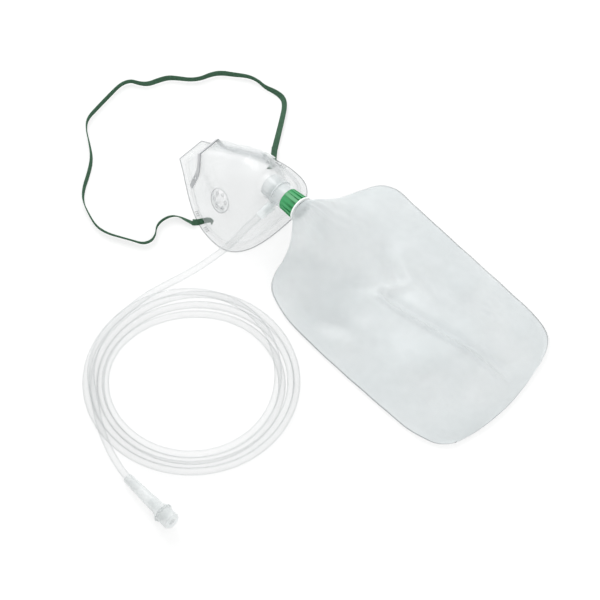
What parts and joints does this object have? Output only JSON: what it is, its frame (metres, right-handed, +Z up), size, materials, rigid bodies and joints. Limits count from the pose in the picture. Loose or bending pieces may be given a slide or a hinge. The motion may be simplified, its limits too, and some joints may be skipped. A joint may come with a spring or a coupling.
{
  "type": "oxygen mask with reservoir bag",
  "caption": "High-concentration oxygen mask: clear face piece, nose clip, valves, turning connector, reservoir bag, coiled tubing with end connector, elastic strap.",
  "frame": {"origin": "bottom centre of the box of the mask and bag, without the tubing and the strap, on the surface they lie on", "axes": "+X from the mask's nose end towards the bag's bottom edge, +Z up, mask face down"},
  "size_m": [0.4804, 0.3948, 0.0821],
  "materials": {
    "clear_pvc": "clear soft moulded vinyl, glossy",
    "aluminium_strip": "bright bendable strip",
    "silicone": "translucent soft silicone",
    "connector_plastic": "translucent natural moulding",
    "white_plastic": "translucent white moulding",
    "green_plastic": "ribbed green moulding",
    "tubing_pvc": "clear soft tubing",
    "frosted_pvc": "frosted soft moulding",
    "bag_film": "frosted thin vinyl film",
    "elastic_strap": "ribbed dark green elastic"
  },
  "bodies": {
    "circuit": {"connector_body": "connector_plastic", "valve_seat": "connector_plastic", "inspiratory_stud": "silicone", "bag_bush": "white_plastic", "bag_collar": "green_plastic", "tubing_cuff": "tubing_pvc", "tubing_lead": "tubing_pvc", "tubing_coil": "tubing_pvc", "tubing_tail": "tubing_pvc", "outlet_sleeve": "frosted_pvc", "outlet_socket": "frosted_pvc"},
    "mask": {"mask_shell": "clear_pvc", "nose_clip": "aluminium_strip", "exhalation_stud": "silicone", "head_strap": "elastic_strap", "strap_end_near": "elastic_strap", "strap_end_far": "elastic_strap"},
    "exhalation_valve": {"exhalation_flap": "silicone"},
    "inspiratory_valve": {"inspiratory_disc": "silicone"},
    "bag": {"bag_upper_film": "bag_film", "bag_lower_film": "bag_film"}
  },
  "joints": [
    {"name": "mask_swivel", "type": "hinge", "parent": "circuit", "child": "mask", "pos_m": [-0.078, -0.021, 0.066], "axis": [0.9903, 0, 0.1392], "range_deg": [-15, 15]},
    {"name": "exhalation_lift", "type": "slide", "parent": "mask", "child": "exhalation_valve", "axis": [-0.12, 0.8798, 0.4599], "range_m": [0, 0.0015], "stiffness_N_per_m": 2},
    {"name": "inspiratory_lift", "type": "slide", "parent": "circuit", "child": "inspiratory_valve", "axis": [-0.9903, 0, -0.1392], "range_m": [0, 0.0015], "stiffness_N_per_m": 2},
    {"name": "bag_lift", "type": "hinge", "parent": "circuit", "child": "bag", "pos_m": [-0.05121, -0.021, 0.08158], "axis": [0, -1, 0], "range_deg": [0, 35]}
  ]
}
